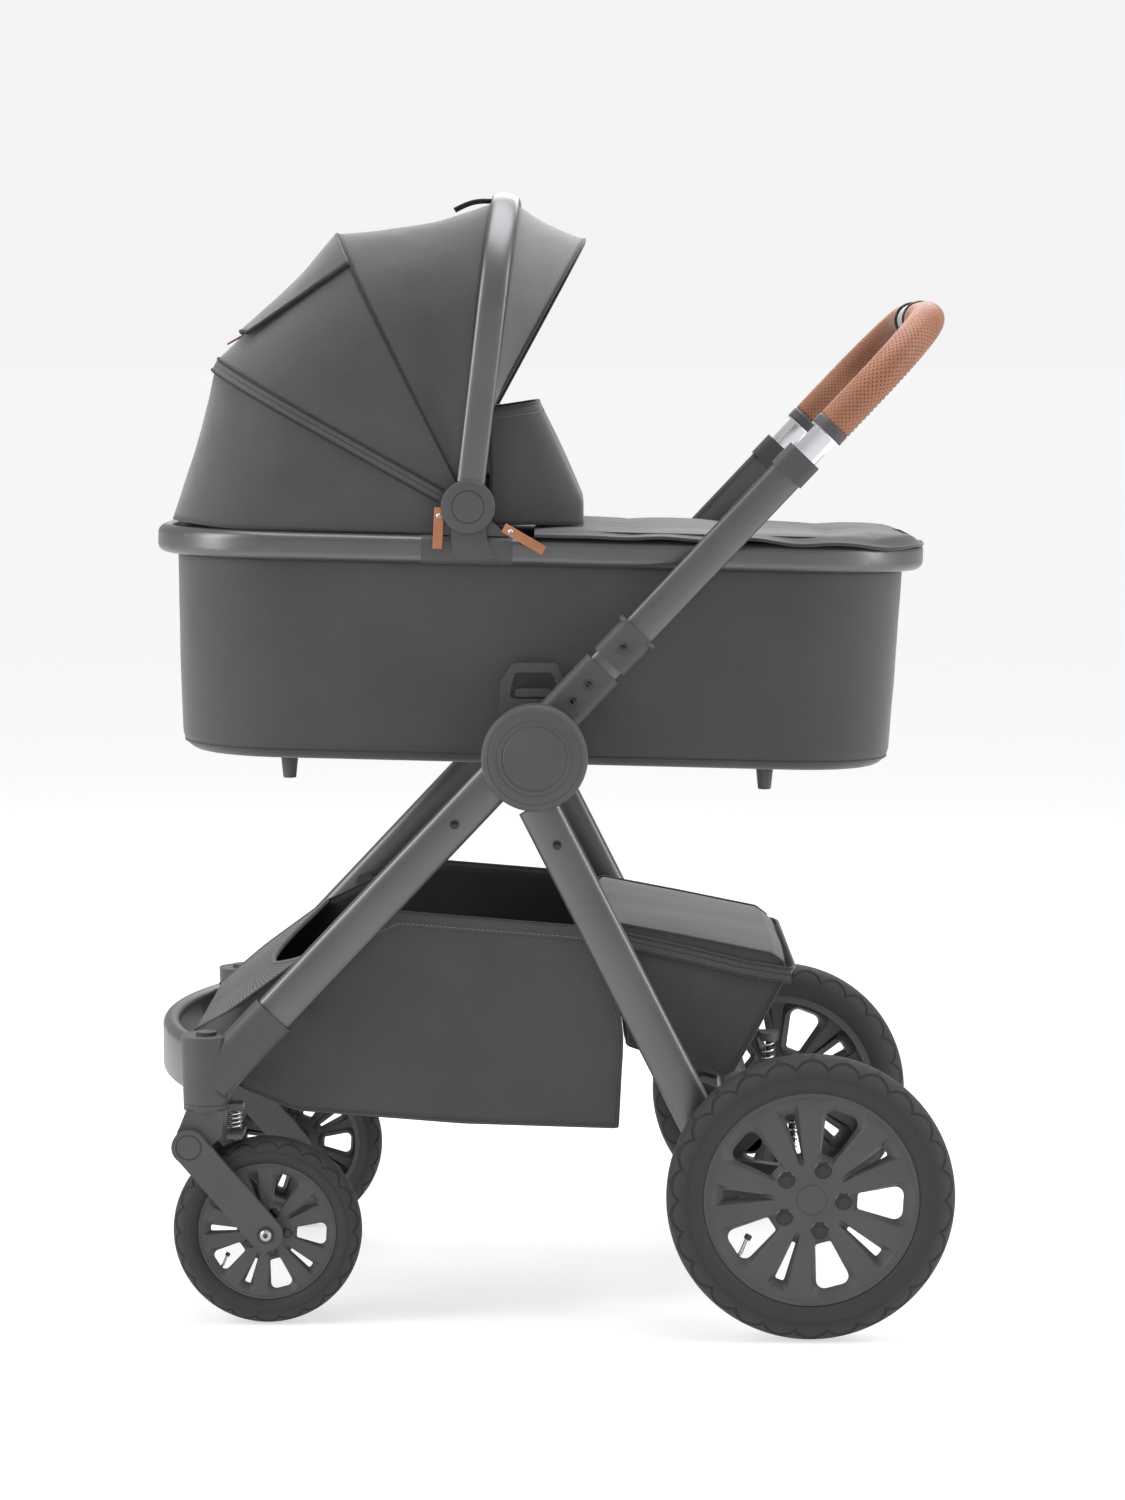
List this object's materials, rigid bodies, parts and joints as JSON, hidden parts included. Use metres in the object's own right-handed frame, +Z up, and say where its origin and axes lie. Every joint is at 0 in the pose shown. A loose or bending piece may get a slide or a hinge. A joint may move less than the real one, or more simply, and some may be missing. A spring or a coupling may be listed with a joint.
{
  "type": "baby stroller",
  "caption": "Baby stroller with a carrycot, folding hood, telescopic leather handle, folding frame, sprung wheels, swivel casters and a storage basket.",
  "frame": {"origin": "on the floor, below the middle of the stroller's length and width", "axes": "+Z up, +X towards the handle and the rear wheels, +Y towards the stroller's right side"},
  "size_m": [0.7938, 0.606, 1.1136],
  "materials": {
    "frame_tube": "satin",
    "grey_plastic": "matte",
    "black_plastic": "matte",
    "tyre": "matte",
    "chrome": "polished",
    "leather": "perforated, satin",
    "grey_fabric": "woven, slight sheen",
    "dark_fabric": "woven, padded",
    "mattress_fabric": "soft"
  },
  "bodies": {
    "chassis": {"front_leg_l": "frame_tube", "front_leg_r": "frame_tube", "caster_housing_l": "grey_plastic", "caster_housing_r": "grey_plastic", "front_bumper": "frame_tube", "hub_core_l": "grey_plastic", "hub_core_r": "grey_plastic", "hub_covers": "grey_plastic", "basket": "grey_fabric", "rear_bag": "grey_fabric"},
    "rear_frame": {"rear_leg_l": "frame_tube", "rear_leg_r": "frame_tube", "rear_feet": "grey_plastic", "rear_crossbar": "frame_tube", "shock_l": "chrome", "shock_r": "chrome"},
    "brake_pedal": {"brake_pedal": "grey_plastic"},
    "handle": {"arm_sockets": "grey_plastic", "arm_tubes": "frame_tube", "arm_collars": "grey_plastic"},
    "slider": {"slider_tubes": "chrome", "grip_leather": "leather", "grip_centre": "grey_plastic"},
    "fold_button": {"fold_button": "black_plastic"},
    "carrycot": {"cot_tub": "grey_fabric", "cot_base": "grey_plastic", "cot_rail": "frame_tube", "mattress": "mattress_fabric", "apron": "dark_fabric", "wind_guard": "grey_fabric", "cot_adapters": "black_plastic", "hood_brackets": "grey_plastic"},
    "hood_rear": {"hood_rib_rear": "frame_tube", "hood_panel_rear": "grey_fabric"},
    "hood_mid": {"hood_rib_mid": "frame_tube", "hood_panel_mid": "grey_fabric"},
    "hood_bow": {"hood_bow": "frame_tube", "hood_panel_front": "grey_fabric"},
    "visor": {"visor_wire": "black_plastic", "visor": "dark_fabric"},
    "rear_arm_l": {"rear_arm_l": "grey_plastic"},
    "rear_wheel_l": {"rear_tyre_l": "tyre", "rear_rim_l": "grey_plastic"},
    "caster_l": {"yoke_l": "grey_plastic", "spring_l": "chrome"},
    "fork_l": {"fork_l": "grey_plastic"},
    "front_wheel_l": {"front_tyre_l": "tyre", "front_rim_l": "grey_plastic"},
    "caster_lock_l": {"caster_lock_l": "grey_plastic"},
    "latch_l": {"latch_l": "black_plastic"},
    "rear_arm_r": {"rear_arm_r": "grey_plastic"},
    "rear_wheel_r": {"rear_tyre_r": "tyre", "rear_rim_r": "grey_plastic"},
    "caster_r": {"yoke_r": "grey_plastic", "spring_r": "chrome"},
    "fork_r": {"fork_r": "grey_plastic"},
    "front_wheel_r": {"front_tyre_r": "tyre", "front_rim_r": "grey_plastic"},
    "caster_lock_r": {"caster_lock_r": "grey_plastic"},
    "latch_r": {"latch_r": "black_plastic"}
  },
  "joints": [
    {"name": "handle_fold", "type": "hinge", "parent": "chassis", "child": "handle", "pos_m": [-0.011, 0, 0.565], "axis": [0, -1, 0], "range_deg": [0, 150]},
    {"name": "rear_leg_fold", "type": "hinge", "parent": "chassis", "child": "rear_frame", "pos_m": [-0.011, 0, 0.565], "axis": [0, 1, 0], "range_deg": [0, 34]},
    {"name": "handle_extend", "type": "slide", "parent": "handle", "child": "slider", "axis": [0.6871, 0, 0.7266], "range_m": [0, 0.116]},
    {"name": "fold_button_press", "type": "slide", "parent": "slider", "child": "fold_button", "axis": [-0.7266, 0, 0.6871], "range_m": [0, 0.003], "stiffness_N_per_m": 400, "springref_m": -0.003},
    {"name": "cot_lift", "type": "slide", "parent": "chassis", "child": "carrycot", "axis": [0, 0, 1], "range_m": [0, 0.12]},
    {"name": "hood_rear_fold", "type": "hinge", "parent": "carrycot", "child": "hood_rear", "pos_m": [-0.0764, 0, 0.8033], "axis": [0, 1, 0], "range_deg": [-23.4, 9.4], "deforming": ["hood_panel_rear"]},
    {"name": "hood_mid_fold", "type": "hinge", "parent": "hood_rear", "child": "hood_mid", "pos_m": [-0.0764, 0, 0.8033], "axis": [0, 1, 0], "range_deg": [-27.5, 11], "deforming": ["hood_panel_mid"]},
    {"name": "hood_fold", "type": "hinge", "parent": "hood_mid", "child": "hood_bow", "pos_m": [-0.0764, 0, 0.8033], "axis": [0, 1, 0], "range_deg": [-24.3, 9.7], "deforming": ["hood_panel_front"]},
    {"name": "visor_flip", "type": "hinge", "parent": "hood_bow", "child": "visor", "pos_m": [-0.054, 0, 0.9], "axis": [0, -1, 0], "range_deg": [0, 22], "deforming": ["visor"]},
    {"name": "rear_suspension_l", "type": "hinge", "parent": "rear_frame", "child": "rear_arm_l", "pos_m": [0.1703, 0, 0.152], "axis": [0, -1, 0], "range_deg": [0, 8], "stiffness_Nm_per_rad": 90, "springref_deg": -8.59, "deforming": ["shock_l"]},
    {"name": "rear_wheel_spin_l", "type": "hinge", "parent": "rear_arm_l", "child": "rear_wheel_l", "pos_m": [0.2563, -0.281, 0.14], "axis": [0, 1, 0], "continuous": true},
    {"name": "caster_swivel_l", "type": "hinge", "parent": "chassis", "child": "caster_l", "pos_m": [-0.3338, -0.213, 0.22], "axis": [0, 0, 1], "continuous": true},
    {"name": "caster_lock_slide_l", "type": "slide", "parent": "chassis", "child": "caster_lock_l", "axis": [0, 0, 1], "range_m": [0, 0.004]},
    {"name": "front_suspension_l", "type": "hinge", "parent": "caster_l", "child": "fork_l", "pos_m": [-0.3496, -0.213, 0.18], "axis": [0, -1, 0], "range_deg": [0, 10], "stiffness_Nm_per_rad": 60, "springref_deg": -6.88, "deforming": ["spring_l"]},
    {"name": "front_wheel_spin_l", "type": "hinge", "parent": "fork_l", "child": "front_wheel_l", "pos_m": [-0.2748, -0.213, 0.093], "axis": [0, 1, 0], "continuous": true},
    {"name": "latch_pull_l", "type": "slide", "parent": "carrycot", "child": "latch_l", "axis": [0, 0, 1], "range_m": [0, 0.006], "stiffness_N_per_m": 300, "springref_m": -0.002},
    {"name": "rear_suspension_r", "type": "hinge", "parent": "rear_frame", "child": "rear_arm_r", "pos_m": [0.1703, 0, 0.152], "axis": [0, -1, 0], "range_deg": [0, 8], "stiffness_Nm_per_rad": 90, "springref_deg": -8.59, "deforming": ["shock_r"]},
    {"name": "rear_wheel_spin_r", "type": "hinge", "parent": "rear_arm_r", "child": "rear_wheel_r", "pos_m": [0.2563, 0.281, 0.14], "axis": [0, 1, 0], "continuous": true},
    {"name": "caster_swivel_r", "type": "hinge", "parent": "chassis", "child": "caster_r", "pos_m": [-0.3338, 0.213, 0.22], "axis": [0, 0, 1], "continuous": true},
    {"name": "caster_lock_slide_r", "type": "slide", "parent": "chassis", "child": "caster_lock_r", "axis": [0, 0, 1], "range_m": [0, 0.004]},
    {"name": "front_suspension_r", "type": "hinge", "parent": "caster_r", "child": "fork_r", "pos_m": [-0.3496, 0.213, 0.18], "axis": [0, -1, 0], "range_deg": [0, 10], "stiffness_Nm_per_rad": 60, "springref_deg": -6.88, "deforming": ["spring_r"]},
    {"name": "front_wheel_spin_r", "type": "hinge", "parent": "fork_r", "child": "front_wheel_r", "pos_m": [-0.2748, 0.213, 0.093], "axis": [0, 1, 0], "continuous": true},
    {"name": "latch_pull_r", "type": "slide", "parent": "carrycot", "child": "latch_r", "axis": [0, 0, 1], "range_m": [0, 0.006], "stiffness_N_per_m": 300, "springref_m": -0.002},
    {"name": "brake_press", "type": "hinge", "parent": "rear_frame", "child": "brake_pedal", "pos_m": [0.22886, 0, 0.19079], "axis": [0, 1, 0], "range_deg": [0, 15]}
  ],
  "couplings": [
    {"joint": "rear_leg_fold", "follows": "handle_fold", "ratio": 0.2266},
    {"joint": "hood_rear_fold", "follows": "hood_fold", "ratio": 0.9588},
    {"joint": "hood_mid_fold", "follows": "hood_fold", "ratio": 1.128}
  ]
}
